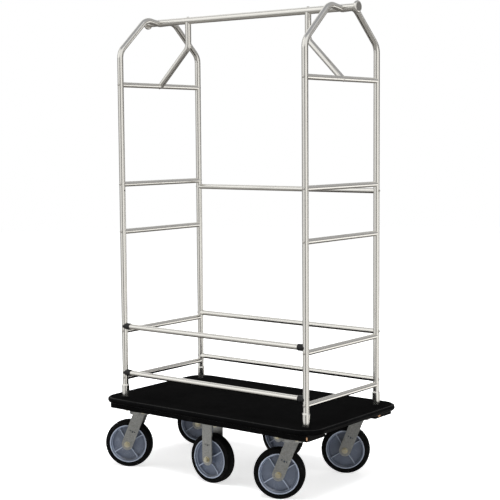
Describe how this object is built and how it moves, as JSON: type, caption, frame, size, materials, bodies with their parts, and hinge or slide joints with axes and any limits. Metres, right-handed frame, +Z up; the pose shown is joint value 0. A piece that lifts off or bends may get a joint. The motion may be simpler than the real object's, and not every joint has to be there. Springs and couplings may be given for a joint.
{
  "type": "hotel luggage cart",
  "caption": "Wheeled hotel luggage cart with a black deck, tubular steel end frames, guard rails and an overhead garment bar, riding on swivel and fixed rubber-tyred casters.",
  "frame": {"origin": "centre of the footprint on the floor", "axes": "+X along the long side towards the right end frame, +Y towards the long side with the three bolted rails, +Z up"},
  "size_m": [1.11, 0.656, 1.924],
  "materials": {
    "stainless_tube": "brushed",
    "bolt_steel": "satin",
    "black_painted_board": "satin black paint",
    "deck_mat": "matte",
    "deck_bumper": "smooth semi-gloss",
    "black_plastic": "matte",
    "zinc_caster": "zinc plated",
    "zinc_hardware": "yellow zinc plated",
    "wheel_hub": "satin",
    "wheel_tyre": "matte"
  },
  "bodies": {
    "cart": {"deck_board": "black_painted_board", "deck_mat": "deck_mat", "deck_bumper": "deck_bumper", "front_runner": "black_painted_board", "rear_runner": "black_painted_board", "post_sockets": "stainless_tube", "left_end_frame": "stainless_tube", "right_end_frame": "stainless_tube", "left_lower_end_rail": "stainless_tube", "left_upper_end_rail": "stainless_tube", "left_lower_crossbar": "stainless_tube", "left_middle_crossbar": "stainless_tube", "left_upper_crossbar": "stainless_tube", "right_lower_end_rail": "stainless_tube", "right_upper_end_rail": "stainless_tube", "right_lower_crossbar": "stainless_tube", "right_middle_crossbar": "stainless_tube", "right_upper_crossbar": "stainless_tube", "rear_lower_guard_rail": "stainless_tube", "rear_upper_guard_rail": "stainless_tube", "rear_middle_rail": "stainless_tube", "front_lower_guard_rail": "stainless_tube", "front_upper_guard_rail": "stainless_tube", "front_rail_cups": "black_plastic", "hanger_bar": "stainless_tube", "left_brace": "stainless_tube", "right_brace": "stainless_tube", "left_end_knob": "stainless_tube", "right_end_knob": "stainless_tube", "rail_bolts": "bolt_steel", "tube_end_plugs": "bolt_steel", "deck_bolts": "zinc_hardware", "front_left_caster_plate": "zinc_caster", "front_right_caster_plate": "zinc_caster", "rear_left_caster_plate": "zinc_caster", "rear_right_caster_plate": "zinc_caster", "front_middle_caster_fork": "zinc_caster", "front_middle_axle": "zinc_hardware", "rear_middle_caster_fork": "zinc_caster", "rear_middle_axle": "zinc_hardware"},
    "front_left_fork": {"front_left_caster_fork": "zinc_caster", "front_left_axle": "zinc_hardware"},
    "front_left_wheel": {"front_left_hub": "wheel_hub", "front_left_tyre": "wheel_tyre"},
    "front_right_fork": {"front_right_caster_fork": "zinc_caster", "front_right_axle": "zinc_hardware"},
    "front_right_wheel": {"front_right_hub": "wheel_hub", "front_right_tyre": "wheel_tyre"},
    "rear_left_fork": {"rear_left_caster_fork": "zinc_caster", "rear_left_axle": "zinc_hardware"},
    "rear_left_wheel": {"rear_left_hub": "wheel_hub", "rear_left_tyre": "wheel_tyre"},
    "rear_right_fork": {"rear_right_caster_fork": "zinc_caster", "rear_right_axle": "zinc_hardware"},
    "rear_right_wheel": {"rear_right_hub": "wheel_hub", "rear_right_tyre": "wheel_tyre"},
    "front_middle_wheel": {"front_middle_hub": "wheel_hub", "front_middle_tyre": "wheel_tyre"},
    "rear_middle_wheel": {"rear_middle_hub": "wheel_hub", "rear_middle_tyre": "wheel_tyre"}
  },
  "joints": [
    {"name": "front_left_swivel", "type": "hinge", "parent": "cart", "child": "front_left_fork", "pos_m": [-0.402, -0.232, 0.239], "axis": [0, 0, 1], "continuous": true},
    {"name": "front_left_wheel_spin", "type": "hinge", "parent": "front_left_fork", "child": "front_left_wheel", "pos_m": [-0.45056, -0.25782, 0.1016], "axis": [0.4695, -0.8829, 0], "continuous": true},
    {"name": "front_right_swivel", "type": "hinge", "parent": "cart", "child": "front_right_fork", "pos_m": [0.402, -0.232, 0.239], "axis": [0, 0, 1], "continuous": true},
    {"name": "front_right_wheel_spin", "type": "hinge", "parent": "front_right_fork", "child": "front_right_wheel", "pos_m": [0.35344, -0.25782, 0.1016], "axis": [0.4695, -0.8829, 0], "continuous": true},
    {"name": "rear_left_swivel", "type": "hinge", "parent": "cart", "child": "rear_left_fork", "pos_m": [-0.402, 0.232, 0.239], "axis": [0, 0, 1], "continuous": true},
    {"name": "rear_left_wheel_spin", "type": "hinge", "parent": "rear_left_fork", "child": "rear_left_wheel", "pos_m": [-0.45056, 0.20618, 0.1016], "axis": [0.4695, -0.8829, 0], "continuous": true},
    {"name": "rear_right_swivel", "type": "hinge", "parent": "cart", "child": "rear_right_fork", "pos_m": [0.402, 0.232, 0.239], "axis": [0, 0, 1], "continuous": true},
    {"name": "rear_right_wheel_spin", "type": "hinge", "parent": "rear_right_fork", "child": "rear_right_wheel", "pos_m": [0.35344, 0.20618, 0.1016], "axis": [0.4695, -0.8829, 0], "continuous": true},
    {"name": "front_middle_wheel_spin", "type": "hinge", "parent": "cart", "child": "front_middle_wheel", "pos_m": [0, -0.24, 0.1016], "axis": [0, -1, 0], "continuous": true},
    {"name": "rear_middle_wheel_spin", "type": "hinge", "parent": "cart", "child": "rear_middle_wheel", "pos_m": [0, 0.24, 0.1016], "axis": [0, -1, 0], "continuous": true}
  ]
}
